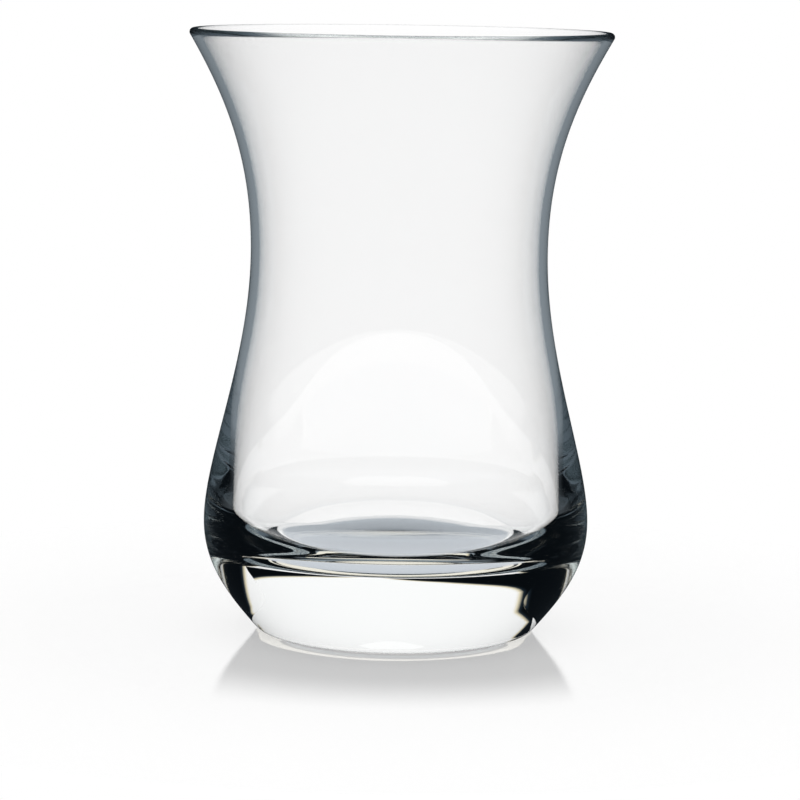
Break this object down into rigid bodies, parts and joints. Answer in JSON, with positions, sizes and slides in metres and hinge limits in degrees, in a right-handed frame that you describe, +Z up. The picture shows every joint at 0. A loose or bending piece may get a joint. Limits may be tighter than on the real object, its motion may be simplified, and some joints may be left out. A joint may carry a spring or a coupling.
{
  "type": "turkish tea glass",
  "caption": "Small tulip-shaped tea glass in clear glass: flared round lip, drawn-in waist, full belly and a thick solid base. Empty, with no handle.",
  "frame": {"origin": "centre of the resting plane, on the axis of the glass", "axes": "+Z up along the axis, towards the lip"},
  "size_m": [0.0608, 0.0608, 0.087],
  "materials": {
    "clear_glass": "colourless pressed soda-lime glass, smooth and clear, with a fire-polished lip"
  },
  "bodies": {
    "root": {"glass": "clear_glass"}
  },
  "joints": []
}
